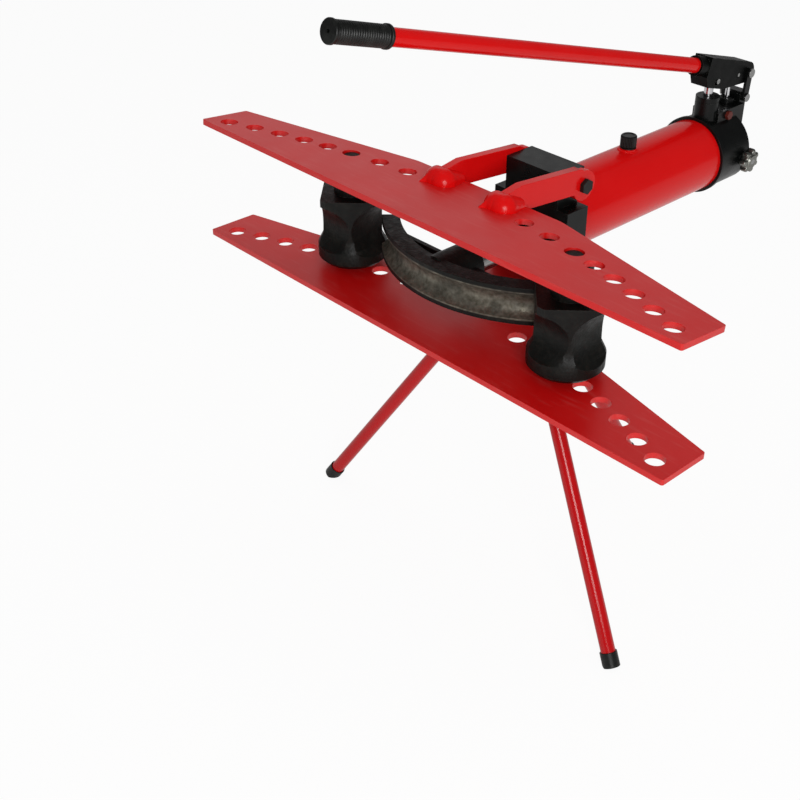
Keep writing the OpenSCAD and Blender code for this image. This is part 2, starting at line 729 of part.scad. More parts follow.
// Links from the lug to the fulcrum
link_pin_y = lug_y + lug_d / 2;
link_lean = atan2(fulcrum_pos - link_pin_y, fulcrum_z - link_pin_z);
link_l = norm([fulcrum_pos - link_pin_y, fulcrum_z - link_pin_z]);
link_x = lever_w / 2;
module fulcrum_links() color(black) on_floor() for (side = [0, 1]) mirror([side, 0, 0])
    translate([link_x, link_pin_y, link_pin_z]) rotate([-link_lean, 0, 0]) difference() {
        union() {
            translate([0, -link_w / 2, 0]) cube([link_t, link_w, link_l]);
            for (z = [0, link_l]) along_x(0, 0, z) cylinder(r = link_w / 2, h = link_t);
        }
        along_x(-cut, 0, 0) cylinder(r = link_pin_r, h = link_t + 2 * cut);
        along_x(-cut, 0, link_l) cylinder(r = fulcrum_r, h = link_t + 2 * cut);
    }
pin_head_t = 4;
pin_head_over = 2;
module headed_pin(r, y, z) along_x(-link_x - link_t, y, z) {
    cylinder(r = r, h = 2 * (link_x + link_t));
    for (h = [-pin_head_t, 2 * (link_x + link_t)]) translate([0, 0, h])
        cylinder(r = r + pin_head_over, h = pin_head_t);
}
module link_pin() color(steel) on_floor() headed_pin(link_pin_r, link_pin_y, link_pin_z);
module fulcrum_pin() color(steel) on_floor() headed_pin(fulcrum_r, fulcrum_pos, fulcrum_z);

// Lever frame: u runs from the fulcrum along the handle, v is square to it
module lever_frame() translate([0, fulcrum_pos, fulcrum_z]) rotate([-handle_angle, 0, 0]) children();
module along_handle(u) translate([0, -u, 0]) rotate([90, 0, 0]) children();
cheek_gap = lever_w - 2 * cheek_t;
cheek_front = 136;
cheek_drop = 36;
cheek_belly = 70;
bridge_v = 8;
socket_start = 118;
socket_floor = 8;
fulcrum_wall = 4;
room_start = fulcrum_r + fulcrum_wall;
cheek_corner = 6;
slot_turn = pin_line - handle_angle;
module slot(arm, r) rotate([-slot_turn, 0, 0]) {
    first = arm / cos(pin_line) - seat_gap;
    last = arm / cos(pin_line + stroke_angle) + seat_gap;
    for (u = [first, last]) along_x(-lever_w, -u, 0) cylinder(r = r + slot_gap, h = 2 * lever_w);
    translate([-lever_w, -last, -r - slot_gap]) cube([2 * lever_w, last - first, 2 * (r + slot_gap)]);
}
module lever() color(black) on_floor() lever_frame() difference() {
    union() {
        upright(lever_w - 2 * side_gap, [
            [0, -lever_end_r], [-cheek_belly, -cheek_drop], [-socket_start - cheek_corner, -cheek_drop],
            [-cheek_front, -socket_r], [-cheek_front, lever_end_r], [0, lever_end_r]]);
        along_x(-lever_w / 2 + side_gap, 0, 0) cylinder(r = lever_end_r, h = lever_w - 2 * side_gap);
        along_handle(socket_start) cylinder(r = socket_r, h = socket_reach - socket_start);
    }
    // Room for the piston heads between the cheeks
    translate([-cheek_gap / 2, -socket_start, -cheek_drop - lever_end_r])
        cube([cheek_gap, socket_start - room_start, cheek_drop + lever_end_r + bridge_v]);
    along_x(-lever_w, 0, 0) cylinder(r = fulcrum_r + run_gap, h = 2 * lever_w);
    slot(large_arm, large_pin_r);
    slot(small_arm, small_pin_r);
    along_handle(socket_start + socket_floor) cylinder(r = handle_r, h = socket_reach);
}

grip_end_wall = 8;
module handle_tube() color(red) on_floor() lever_frame() along_handle(socket_start + socket_floor)
    ring(handle_r, handle_r - handle_wall, handle_reach - grip_end_wall - socket_start - socket_floor);

grip_flange_t = 6;
grip_hole_r = 3;
rib_pitch = (grip_l - 2 * grip_flange_t) / grip_ribs;
rib_depth = 1.2;
rib_root = 0.4;
rib_start = 0.5;
rib_end = 0.9;
module handle_grip() color(rubber) on_floor() lever_frame() along_handle(handle_reach - grip_l)
    rotate_extrude() polygon(concat(
    [[handle_r, 0], [grip_flange_r, 0], [grip_flange_r, grip_flange_t]],
    [for (i = [0:grip_ribs - 1]) let (z = grip_flange_t + i * rib_pitch)
        each [[grip_r - rib_depth, z], [grip_r - rib_depth, z + rib_pitch * rib_root],
            [grip_r, z + rib_pitch * rib_start], [grip_r, z + rib_pitch * rib_end]]],
    [[grip_flange_r, grip_l - grip_flange_t], [grip_flange_r, grip_l], [grip_hole_r, grip_l],
        [grip_hole_r, grip_l - grip_end_wall], [handle_r, grip_l - grip_end_wall]]));

// Stand: point of a leg's line at height z, and a frame that runs down the leg from there
function leg_out(z) = leg_start - z * tan(leg_splay);
module down_leg(angle, z) translate([leg_out(z) * cos(angle), hub_y + leg_out(z) * sin(angle), z])
    rotate([0, 180 - leg_splay, angle]) children();
leg_socket_r = leg_r + leg_socket_wall;
module stand_hub() color(red) on_floor() difference() {
    union() {
        translate([0, hub_y, hub_z - hub_t]) cylinder(r = hub_r, h = hub_t);
        for (a = leg_angles) down_leg(a, hub_z - hub_t / 2) cylinder(r = leg_socket_r, h = leg_socket_l);
    }
    translate([-plate_l, hub_y - plate_l, hub_z]) cube([2 * plate_l, 2 * plate_l, plate_l]);
    for (a = leg_angles) down_leg(a, leg_top_z) cylinder(r = leg_r, h = leg_socket_l);
    at_hub_bolts() translate([0, 0, hub_z - hub_t - cut]) cylinder(r = hub_bolt_r, h = hub_t + 2 * cut);
}
hub_bolt_head_h = 7;
module hub_bolts() color(black) on_floor() at_hub_bolts() {
    translate([0, 0, hub_z - hub_t]) cylinder(r = hub_bolt_r, h = hub_t + hub_bolt_depth);
    translate([0, 0, hub_z - hub_t - hub_bolt_head_h]) hex(hub_bolt_r * hex_flats, hub_bolt_head_h);
}

foot_floor = 14;
leg_l = (leg_top_z + stand_h - foot_floor) / cos(leg_splay);
module leg(angle) color(red) on_floor() down_leg(angle, leg_top_z) ring(leg_r, leg_r - leg_wall, leg_l);
module front_left_leg() leg(leg_angles[0]);
module front_right_leg() leg(leg_angles[1]);
module rear_leg() leg(leg_angles[2]);

module foot(angle) color(rubber) on_floor() difference() {
    down_leg(angle, -stand_h) translate([0, 0, -foot_l]) cylinder(r = leg_r + foot_wall, h = foot_l);
    down_leg(angle, leg_top_z) cylinder(r = leg_r, h = leg_l);
    translate([-plate_l, hub_y - plate_l, -stand_h - plate_l]) cube([2 * plate_l, 2 * plate_l, plate_l]);
}
module front_left_foot() foot(leg_angles[0]);
module front_right_foot() foot(leg_angles[1]);
module rear_foot() foot(leg_angles[2]);

lower_plate();
upper_plate();
left_arm();
right_arm();
head_block();
block_bolts();
hinge_bolts();
barrel();
collar_ring();
pressure_tube();
ram_gland();
ram();
ram_piston();
piston_seal();
return_spring();
former();
left_roller();
right_roller();
filler_cap();
filler_seal();
pump_body();
large_gland();
small_gland();
large_piston();
small_piston();
large_piston_pin();
small_piston_pin();
check_balls();
valve_plug();
release_stem();
release_knob();
fulcrum_links();
link_pin();
fulcrum_pin();
lever();
handle_tube();
handle_grip();
stand_hub();
hub_bolts();
front_left_leg();
front_right_leg();
rear_leg();
front_left_foot();
front_right_foot();
rear_foot();
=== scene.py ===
# %% [markdown]
# # A hydraulic pipe bender
# A hand pump pushes a ram and its curved former between two wing plates, while two rollers hold the work
# back, so that it bends round the former. The solids of every piece are loaded as a fixed frame. This
# lesson gives them soft edges, welds, turned details, and the paints and metals that the eye knows them by.

# %% Load the frame
import json
import math

import bmesh
import bpy
import numpy as np
from mathutils import Matrix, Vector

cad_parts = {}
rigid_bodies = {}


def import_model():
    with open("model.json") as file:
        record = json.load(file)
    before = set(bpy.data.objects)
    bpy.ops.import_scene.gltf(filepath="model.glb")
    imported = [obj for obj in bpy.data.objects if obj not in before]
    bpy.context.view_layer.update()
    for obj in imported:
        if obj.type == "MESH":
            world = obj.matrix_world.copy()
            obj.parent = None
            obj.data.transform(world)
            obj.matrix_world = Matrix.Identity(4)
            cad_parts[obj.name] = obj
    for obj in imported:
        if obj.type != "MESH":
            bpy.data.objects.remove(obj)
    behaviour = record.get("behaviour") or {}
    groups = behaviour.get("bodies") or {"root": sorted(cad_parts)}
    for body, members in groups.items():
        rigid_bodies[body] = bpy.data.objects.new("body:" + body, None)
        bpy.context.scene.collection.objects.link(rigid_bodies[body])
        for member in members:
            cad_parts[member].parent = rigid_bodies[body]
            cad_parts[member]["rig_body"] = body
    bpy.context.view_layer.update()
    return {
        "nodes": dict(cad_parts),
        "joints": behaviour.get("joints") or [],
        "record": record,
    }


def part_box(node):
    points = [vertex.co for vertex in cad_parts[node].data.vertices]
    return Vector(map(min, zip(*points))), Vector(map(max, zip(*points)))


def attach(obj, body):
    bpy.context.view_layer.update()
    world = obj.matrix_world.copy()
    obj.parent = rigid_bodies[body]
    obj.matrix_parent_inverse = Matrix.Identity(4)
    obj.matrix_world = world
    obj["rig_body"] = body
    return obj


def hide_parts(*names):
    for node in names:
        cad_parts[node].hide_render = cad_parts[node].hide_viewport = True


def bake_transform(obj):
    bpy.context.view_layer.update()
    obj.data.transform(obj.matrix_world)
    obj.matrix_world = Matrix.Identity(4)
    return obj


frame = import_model()
SLOT_OF = {part["node"]: part["material_slot"] for part in frame["record"]["subparts"]}
JOINT = {joint["name"]: joint for joint in frame["joints"]}
MM = 0.001

# %% [markdown]
# ## Camera
# The camera stands at the front right, well above the plates. It could be aimed by eye, but here its place,
# two angles and focal length were fitted to the corners of the plates and to their holes, so that the part
# is framed as it was seen. The place is counted from the middle of the lower plate's front edge, because
# that edge is what was fitted.

# %% Camera
AZIMUTH = math.radians(47.54)
ELEVATION = math.radians(33.6)
FOCAL_PX = 1268.7
FRAME_PX = 800
SENSOR_MM = 36
CAMERA_FROM_EDGE = np.array([1.3359, -1.2264, 1.0757])

plate_low, plate_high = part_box("lower_plate")
edge_middle = np.array([0.0, plate_low.y, plate_high.z])


def view_axes(azimuth, elevation):
    """Right, up and back of a level camera: right lies in the floor's plane, up is back x right."""
    right = np.array([math.cos(azimuth), math.sin(azimuth), 0.0])
    level = np.array([math.sin(azimuth), -math.cos(azimuth), 0.0])
    back = level * math.cos(elevation) + np.array([0.0, 0.0, math.sin(elevation)])
    return right, np.cross(back, right), back


def stand(thing, axes, place):
    """Puts a camera or a lamp in the scene at a place, with its x, y and z along the three axes."""
    bpy.context.scene.collection.objects.link(thing)
    pose = np.eye(4)
    pose[:3, :3] = np.column_stack(axes)
    pose[:3, 3] = place
    thing.matrix_world = Matrix(pose.tolist())


camera = bpy.data.objects.new("camera", bpy.data.cameras.new("camera"))
stand(camera, view_axes(AZIMUTH, ELEVATION), edge_middle + CAMERA_FROM_EDGE)
camera.data.sensor_width = SENSOR_MM
camera.data.lens = FOCAL_PX / FRAME_PX * SENSOR_MM
bpy.context.scene.camera = camera
print("camera at", camera.matrix_world.translation, "lens mm", round(camera.data.lens, 2))

# %% [markdown]
# ## Helpers for finishes
# Colours are written as the hex values that a colour card gives, and one function turns them to the linear
# values that a shader works in. One small function adds any shader node. Each of its inputs is given a
# value, another node's socket, or another node, and then that node's first live output is meant.


# %% Colour and node helpers
def linear(hex_colour):
    """sRGB hex to linear RGBA: c / 12.92 near black, ((c + 0.055) / 1.055) ** 2.4 above that."""
    c = np.array([int(hex_colour[i:i + 2], 16) for i in (1, 3, 5)]) / 255
    rgb = np.where(c <= 0.04045, c / 12.92, ((c + 0.055) / 1.055) ** 2.4)
    return (*rgb.tolist(), 1.0)


def add(tree, kind, inputs=None, **settings):
    """Adds the shader node of that kind, with its own settings, and sets or links its inputs."""
    node = tree.nodes.new("ShaderNode" + kind)
    for name, value in settings.items():
        setattr(node, name, value)
    for name, value in (inputs or {}).items():
        if isinstance(value, bpy.types.Node):
            value = next(socket for socket in value.outputs if socket.enabled)
        if isinstance(value, bpy.types.NodeSocket):
            tree.links.new(value, node.inputs[name])
        else:
            node.inputs[name].default_value = value
    return node


def start_finish(name):
    """A new material, its emptied node tree, and the object coordinates its patterns are laid on."""
    material = bpy.data.materials.new(name)
    material.use_nodes = True
    tree = material.node_tree
    tree.nodes.clear()
    return material, tree, add(tree, "TexCoord").outputs["Object"]


def close_finish(material, tree, grain, depth_mm, inputs):
    """Joins the main shader to the material's output; its surface rises by depth_mm where grain is 1."""
    relief = add(tree, "Bump", {"Height": grain, "Distance": depth_mm * MM, "Strength": 1.0})
    shader = add(tree, "BsdfPrincipled", {"Normal": relief, **inputs})
    add(tree, "OutputMaterial", {"Surface": shader})
    return material


print("white", linear("#FFFFFF"), "black", linear("#000000"))

# %% [markdown]
# ## Patterns
# Three patterns make up most finishes. A cloud is noise with lumps of a real size. Edge wear shows where
# paint gets thin or rubbed: it could be painted by hand, but a Bevel node finds the edges by itself, since
# its rounded normal leaves the true one there. Layers lay one colour over another where a mask says so.

# %% Patterns
NOISE_LOW = 0.3
NOISE_HIGH = 0.7
EDGE_START = 0.02
EDGE_FULL = 0.25
EDGE_SAMPLES = 4


def cloud(tree, place, size_mm, low, high, detail=3.0):
    """Noise with lumps of about size_mm, stretched so that low to high covers most of its swing."""
    noise = add(tree, "TexNoise", {"Vector": place, "Scale": 1 / (size_mm * MM), "Detail": detail})
    return add(tree, "MapRange", {
        "Value": noise, "From Min": NOISE_LOW, "From Max": NOISE_HIGH, "To Min": low, "To Max": high})


def edge_wear(tree, place, radius_mm, patch_mm, low, high):
    """Patchy wear where the surface turns within radius_mm: a ramp of true . rounded normal, x a cloud."""
    rounded = add(tree, "Bevel", {"Radius": radius_mm * MM}, samples=EDGE_SAMPLES)
    true = add(tree, "NewGeometry").outputs["Normal"]
    match = add(tree, "VectorMath", {0: rounded, 1: true}, operation="DOT_PRODUCT")
    turn = add(tree, "MapRange", {
        "Value": match, "From Min": 1 - EDGE_START, "From Max": 1 - EDGE_FULL, "To Min": 0.0, "To Max": 1.0})
    patches = cloud(tree, place, patch_mm, low, high)
    return add(tree, "Math", {0: turn, 1: patches}, operation="MULTIPLY")


def layered(tree, ground, *layers):
    """The ground colour with layers over it, each a mask and a colour: colour + mask * (layer - colour)."""
    colour = linear(ground)
    for mask, layer in layers:
        colour = add(tree, "Mix", {"Factor": mask, "A": colour, "B": linear(layer)}, data_type="RGBA")
    return colour


print("noise swings from", NOISE_LOW, "to", NOISE_HIGH)

# %% [markdown]
# ## Red enamel
# Plates, barrel, arms, handle and legs are steel sprayed with red enamel, glossy on tubes and half dull on
# the wide plates. The legs' enamel is a darker red than the barrel's, which is painted shade. It could be one
# flat colour, but that looks like plastic. So the colour drifts slowly, the coat is thin along edges, scuffs
# dull it, and the orange peel of spraying breaks up what it mirrors.

# %% Red enamel
PAINT_IOR = 1.5
COAT_EDGE_MM = 1.2
DRIFT_MM = 120
DRIFT = 0.4
THIN_MM = 9
THIN_SWING = (-0.2, 0.4)
SCUFF_MM = 7
SCUFF_LOW = -1.6
SCUFF_STRETCH = (0.12, 1.0, 1.0)
PEEL_MM = 4
PEEL_DEPTH_MM = 0.012
GLOSS_MM = 60
GLOSS_SPREAD = 0.07


def sprayed_enamel(name, body, light, roughness, scuff, shine):
    """Enamel sprayed on steel: a smooth coat with slight orange peel, thin at edges and dulled by scuffs."""
    material, tree, place = start_finish(name)
    drift = cloud(tree, place, DRIFT_MM, 0.0, DRIFT)
    thin = edge_wear(tree, place, COAT_EDGE_MM, THIN_MM, *THIN_SWING)
    # Scuffs are drawn out along x, the way that the work is laid in
    streak = add(tree, "Mapping", {"Vector": place, "Scale": SCUFF_STRETCH})
    dulled = cloud(tree, streak, SCUFF_MM, SCUFF_LOW * scuff, scuff, detail=6.0)
    # Orange peel is about 1 mm across on steel, and is drawn as coarse as it needs to be to show here
    peel = cloud(tree, place, PEEL_MM, 0.0, 1.0, detail=1.0)
    return close_finish(material, tree, peel, PEEL_DEPTH_MM, {
        "Base Color": layered(tree, body, (drift, light), (thin, "#D8504A"), (dulled, "#D98C86")),
        "Roughness": cloud(tree, place, GLOSS_MM, roughness, roughness + GLOSS_SPREAD),
        "IOR": PAINT_IOR, "Specular IOR Level": shine})


gloss_red = sprayed_enamel("gloss_red_enamel", "#D00A0B", "#DA0F0F", roughness=0.17, scuff=0.0, shine=0.2)
satin_red = sprayed_enamel("satin_red_enamel", "#C60B0B", "#D21010", roughness=0.34, scuff=0.08, shine=0.5)
# The legs' red is darker than the barrel's, which is painted shade; their higher gloss is their own
shaded_legs_red = sprayed_enamel("shaded_legs_enamel", "#B00B10", "#BC1014", roughness=0.13, scuff=0.0, shine=0.28)
print("red enamels", [paint.name for paint in (gloss_red, satin_red, shaded_legs_red)])

# %% [markdown]
# ## Black paint
# Head block, collar, pump, links and lever are machined steel under black paint, and the bolts are black
# oxide: even and half glossy, and a little greyer on the edges that hands and swarf rub. The hex plug has a
# red-brown coat of the same kind. Each could have a material built by hand, but one function makes them
# all, because only colour, roughness and shine differ.

# %% Black paint
TONE_MM = 45
TONE = 0.7
RUB_MM = 7
RUB_SWING = (-0.2, 0.7)
MILLED_MM = 2.5
MILLED_DEPTH_MM = 0.02
SATIN_MM = 20
SATIN_SPREAD = 0.12


def satin_black(name, body, light, roughness, shine=0.2):
    """Paint on machined steel: even and half glossy, a little greyer where hands and swarf rub it."""
    material, tree, place = start_finish(name)
    tone = cloud(tree, place, TONE_MM, 0.0, TONE)
    rubbed = edge_wear(tree, place, COAT_EDGE_MM, RUB_MM, *RUB_SWING)
    # Milling marks under paint are well below 1 mm, and are drawn as coarse as they need to be to show
    milled = cloud(tree, place, MILLED_MM, 0.0, 1.0, detail=2.0)
    return close_finish(material, tree, milled, MILLED_DEPTH_MM, {
        "Base Color": layered(tree, body, (tone, light), (rubbed, "#5B5B58")),
        "Roughness": cloud(tree, place, SATIN_MM, roughness, roughness + SATIN_SPREAD),
        "IOR": PAINT_IOR, "Specular IOR Level": shine})


black_enamel = satin_black("satin_black_enamel", "#070808", "#101211", roughness=0.26)
lever_enamel = satin_black("lever_black_enamel", "#060707", "#0D0E0D", roughness=0.34, shine=0.08)
black_oxide = satin_black("black_oxide_steel", "#141211", "#211E1C", roughness=0.4)
plug_enamel = satin_black("red_brown_enamel", "#4A1713", "#6A2A22", roughness=0.3)
print("black paints", [paint.name for paint in (black_enamel, lever_enamel, black_oxide, plug_enamel)])

# %% [markdown]
# ## Painted castings
# Rollers and former are sand castings with black paint brushed over them. The sand leaves a rough skin that
# paint doesn't hide, dirt stays in it, and ridges wear to grey. The skin is too fine to be worth modelling,
# so it is a bump in the finish.

# %% Painted castings
CAST_SHINE = 0.18
CAST_EDGE_MM = 2.0
CAST_WEAR_MM = 6
CAST_WEAR_SWING = (-0.3, 0.8)
CAST_TONE_MM = 35
DIRT_MM = 14
DIRT_SWING = (-0.3, 0.25)
SAND_MM = 5
SAND_DEPTH_MM = 0.3
CAST_GLOSS_MM = 12
CAST_ROUGHNESS = (0.34, 0.56)


def cast_skin(tree, place):
    """Colour, roughness and relief of black paint on a sand casting, worn grey along its ridges."""
    tone = cloud(tree, place, CAST_TONE_MM, 0.0, 1.0)
    dirt = cloud(tree, place, DIRT_MM, *DIRT_SWING)
    worn = edge_wear(tree, place, CAST_EDGE_MM, CAST_WEAR_MM, *CAST_WEAR_SWING)
    colour = layered(tree, "#0A0B0A", (tone, "#11120F"), (dirt, "#2A2722"), (worn, "#4A4945"))
    roughness = cloud(tree, place, CAST_GLOSS_MM, *CAST_ROUGHNESS)
    # Moulding sand is under 1 mm, and its marks are drawn as coarse as they need to be to show
    return colour, roughness, cloud(tree, place, SAND_MM, 0.0, 1.0, detail=5.0)


def cast_black(name):
    """Black paint brushed over a rough sand casting."""
    material, tree, place = start_finish(name)
    colour, roughness, sand = cast_skin(tree, place)
    return close_finish(material, tree, sand, SAND_DEPTH_MM, {
        "Base Color": colour, "Roughness": roughness, "IOR": PAINT_IOR, "Specular IOR Level": CAST_SHINE})


cast_iron = cast_black("black_painted_cast_iron")
print("casting", cast_iron.name)

# %% [markdown]
# The former is the same casting, but its groove is rubbed down to bare steel. It could be split in two
# materials face by face, but that leaves a hard line. The groove is part of a ring, so the distance from
# the ring's middle line tells it apart: under the groove's own radius plus a little it is bare, beyond that
# it is painted.

# %% Former, painted outside and rubbed bare in the groove
BEND_R = 0.290
GROOVE_R = 0.025
MOUTH_R = 0.280
BARE_DEPTH = 0.0015
BARE_MM = 26
BARE_LEAST = 0.25
BARE_METAL = 0.8
STEEL_MM = 8
former_low, former_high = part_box("former")
ring_middle = (0.0, former_low.y + MOUTH_R, (former_low.z + former_high.z) / 2)


def ring_distance(tree, place, middle, radius):
    """Distance to a ring's middle line: sqrt((sqrt(x^2 + y^2) - radius)^2 + z^2) from its middle."""
    local = add(tree, "VectorMath", {0: place, 1: middle}, operation="SUBTRACT")
    part = add(tree, "SeparateXYZ", {"Vector": local}).outputs
    flat = add(tree, "CombineXYZ", {"X": part["X"], "Y": part["Y"]})
    reach = add(tree, "VectorMath", {0: flat}, operation="LENGTH")
    off = add(tree, "Math", {0: reach, 1: radius}, operation="SUBTRACT")
    section = add(tree, "CombineXYZ", {"X": off, "Y": part["Z"]})
    return add(tree, "VectorMath", {0: section}, operation="LENGTH")


def rubbed_casting(name):
    """Black casting whose groove is rubbed to brownish steel, in patches."""
    material, tree, place = start_finish(name)
    paint, roughness, sand = cast_skin(tree, place)
    inside = add(tree, "MapRange", {
        "Value": ring_distance(tree, place, ring_middle, BEND_R), "From Min": GROOVE_R + 2 * BARE_DEPTH,
        "From Max": GROOVE_R + BARE_DEPTH, "To Min": 0.0, "To Max": 1.0})
    patches = cloud(tree, place, BARE_MM, BARE_LEAST, 1.0)
    bare = add(tree, "Math", {0: inside, 1: patches}, operation="MULTIPLY")
    steel = layered(tree, "#5E594D", (cloud(tree, place, STEEL_MM, 0.0, 1.0), "#8B867A"))
    return close_finish(material, tree, sand, SAND_DEPTH_MM, {
        "Base Color": add(tree, "Mix", {"Factor": bare, "A": paint, "B": steel}, data_type="RGBA"),
        "Metallic": add(tree, "Math", {0: bare, 1: BARE_METAL}, operation="MULTIPLY"),
        "Roughness": roughness, "Specular IOR Level": CAST_SHINE})


former_iron = rubbed_casting("rubbed_cast_iron")
print("former's ring middle", [round(v, 4) for v in ring_middle])

# %% [markdown]
# ## Bare metals
# The ram and the pins are ground steel, the two pump pistons are chromed, and the knob is die-cast alloy.
# Each shows how it was made: long fine marks on ground rods, a dull mottled skin on the casting. The marks
# could be scratches in an image, but noise that is drawn out along the rod gives them at any distance. The
# ram lies along y and the pump pistons stand along z, so their grain is drawn out on those axes.

# %% Bare metals
METAL_SPREAD = 0.12
ALONG_Y = (1, 0.08, 1)
ALONG_Z = (1, 1, 0.1)
EVENLY = (1, 1, 1)


def bright_metal(name, body, light, roughness, grain_mm, depth_mm, stretch):
    """Bare metal; stretch draws its grain out along the axes on which it is below 1."""
    material, tree, place = start_finish(name)
    drawn = add(tree, "Mapping", {"Vector": place, "Scale": stretch})
    # Grinding marks are far below 1 mm, and are drawn as coarse as they need to be to show
    grain = cloud(tree, drawn, grain_mm, 0.0, 1.0, detail=4.0)
    return close_finish(material, tree, grain, depth_mm, {
        "Base Color": layered(tree, body, (grain, light)), "Metallic": 1.0,
        "Roughness": cloud(tree, drawn, grain_mm * 2, roughness, roughness + METAL_SPREAD)})


ground_steel = bright_metal(
    "ground_steel", "#8C8C8B", "#A9A9A8", roughness=0.22, grain_mm=2, depth_mm=0.01, stretch=ALONG_Y)
hard_chrome = bright_metal(
    "hard_chrome", "#C4C4C6", "#D8D8DA", roughness=0.08, grain_mm=2, depth_mm=0.004, stretch=ALONG_Z)
cast_alloy = bright_metal(
    "die_cast_alloy", "#72726E", "#96968F", roughness=0.3, grain_mm=3, depth_mm=0.08, stretch=EVENLY)
print("metals", [metal.name for metal in (ground_steel, hard_chrome, cast_alloy)])

# %% [markdown]
# ## Rubber and plastic
# Grip and foot caps are moulded rubber, the filler cap is moulded plastic. Both take the fine even grain
# of their mould, drawn coarser here so that it shows, and dust pales them here and there. Flat black would
# do for so small a piece as the cap, but dust is what tells rubber from paint.

# %% Rubber and plastic
DUST_MM = 18
DUST_SWING = (-0.3, 0.6)
MOULD_SHINE = 0.3
MOULD_GLOSS_MM = 10
MOULD_SPREAD = 0.12


def moulded(name, body, light, roughness, grain_mm, depth_mm):
    """Moulded rubber or plastic: a fine even grain, with dust that pales it here and there."""
    material, tree, place = start_finish(name)
    dust = cloud(tree, place, DUST_MM, *DUST_SWING)
    grain = cloud(tree, place, grain_mm, 0.0, 1.0, detail=2.0)
    return close_finish(material, tree, grain, depth_mm, {
        "Base Color": layered(tree, body, (dust, light)),
        "Roughness": cloud(tree, place, MOULD_GLOSS_MM, roughness, roughness + MOULD_SPREAD),
        "IOR": PAINT_IOR, "Specular IOR Level": MOULD_SHINE})


black_rubber = moulded("moulded_rubber", "#0E0F0E", "#262725", roughness=0.34, grain_mm=1.5, depth_mm=0.04)
black_plastic = moulded("moulded_plastic", "#0D0E0E", "#1A1B1A", roughness=0.3, grain_mm=2, depth_mm=0.02)
print("mouldings", black_rubber.name, black_plastic.name)

# %% [markdown]
# ## Finishes on the solids
# Each solid has a slot that says what it is made of, so most finishes can be given by slot. A few solids
# look unlike the rest of their slot and have a finish of their own.

# %% Finishes on the solids
FINISH = {
    "red_paint": gloss_red, "black_casting": cast_iron, "black_paint": black_enamel,
    "black_fasteners": black_oxide, "bright_steel": ground_steel, "chrome_rod": hard_chrome,
    "cast_alloy": cast_alloy, "plug_paint": plug_enamel, "black_plastic": black_plastic,
    "rubber": black_rubber,
}
# The legs take the darker red copy, which paints their shade
OWN_FINISH = {
    "lower_plate": satin_red, "upper_plate": satin_red, "former": former_iron, "lever": lever_enamel,
    "front_left_leg": shaded_legs_red, "front_right_leg": shaded_legs_red, "rear_leg": shaded_legs_red,
}


def finish_of(node):
    """The finish of a solid: its own where it has one, and its slot's otherwise."""
    return OWN_FINISH.get(node, FINISH[SLOT_OF[node]])


for name, solid in frame["nodes"].items():
    solid.data.materials.clear()
    solid.data.materials.append(finish_of(name))
print("finishes", len(FINISH) + len(set(OWN_FINISH.values())))

# %% [markdown]
# ## Soft edges
# No edge of real plate or casting is perfectly sharp, and the line of light along it is much of what makes
# a part look solid. A shader can fake a round edge, but the outline then stays sharp, so the shape itself
# is rounded here. Most solids that show are copied. Doubled points are merged, flat triangles become whole
# faces, and a Bevel modifier rounds what is left: 2 mm on arms, pump, lever and former, 1 mm on
# plates, blocks and rollers, and less on the turned pieces. The copy rides on the solid's body and stands
# for the solid.


# %% Placing a finished piece
def place_piece(name, mesh, body, slot, material, *nodes):
    """Links a finished mesh as a piece that rides on a body and stands for the given solids."""
    piece = bpy.data.objects.new(name, mesh)
    bpy.context.scene.collection.objects.link(piece)
    mesh.materials.clear()
    mesh.materials.append(material)
    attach(piece, body)
    if nodes:
        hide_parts(*nodes)
    return piece


def body_of(node):
    """The body that a solid rides on."""
    return frame["nodes"][node]["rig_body"]


# %% Soften the solids
MERGE = 1e-6
FLAT_ANGLE = math.radians(0.3)
SHARP_ANGLE = math.radians(32)
BEVEL_SEGMENTS = 3


def soften(node, edge_mm):
    """A copy of a solid with its sharp edges rounded to edge_mm."""
    source = frame["nodes"][node].data
    points = np.empty(len(source.vertices) * 3)
    source.vertices.foreach_get("co", points)
    corners = np.empty(len(source.loops), dtype=np.int64)
    source.loops.foreach_get("vertex_index", corners)
    mesh = bpy.data.meshes.new(node + "_finished")
    mesh.from_pydata(points.reshape(-1, 3), [], corners.reshape(-1, 3))
    work = bmesh.new()
    work.from_mesh(mesh)
    bmesh.ops.remove_doubles(work, verts=work.verts, dist=MERGE)
    bmesh.ops.dissolve_limit(work, angle_limit=FLAT_ANGLE, verts=work.verts, edges=work.edges)
    work.to_mesh(mesh)
    work.free()
    mesh.shade_smooth()
    mesh.set_sharp_from_angle(angle=SHARP_ANGLE)
    piece = place_piece(node + "_finished", mesh, body_of(node), SLOT_OF[node], finish_of(node), node)
    bevel = piece.modifiers.new("soft edges", "BEVEL")
    bevel.width = edge_mm * MM
    bevel.segments = BEVEL_SEGMENTS
    bevel.limit_method = "ANGLE"
    bevel.angle_limit = SHARP_ANGLE
    bevel.harden_normals = True


PLATE_EDGE = 1.0
CAST_EDGE = 2.0
FINE_EDGE = 0.6
EDGES = {
    PLATE_EDGE: ["lower_plate", "upper_plate", "head_block", "stand_hub", "large_gland", "small_gland",
                 "left_roller", "right_roller"],
    CAST_EDGE: ["left_arm", "right_arm", "pump_body", "lever", "former"],
    FINE_EDGE: ["fulcrum_links", "collar_ring", "barrel", "block_bolts", "hinge_bolts", "hub_bolts",
                "valve_plug", "link_pin", "fulcrum_pin", "ram", "ram_gland", "large_piston",
                "small_piston", "release_stem", "handle_tube", "front_left_leg", "front_right_leg",
                "rear_leg", "front_left_foot", "front_right_foot", "rear_foot"],
}
for edge_mm, nodes in EDGES.items():
    for node in nodes:
        soften(node, edge_mm)
print("softened", sum(len(nodes) for nodes in EDGES.values()))

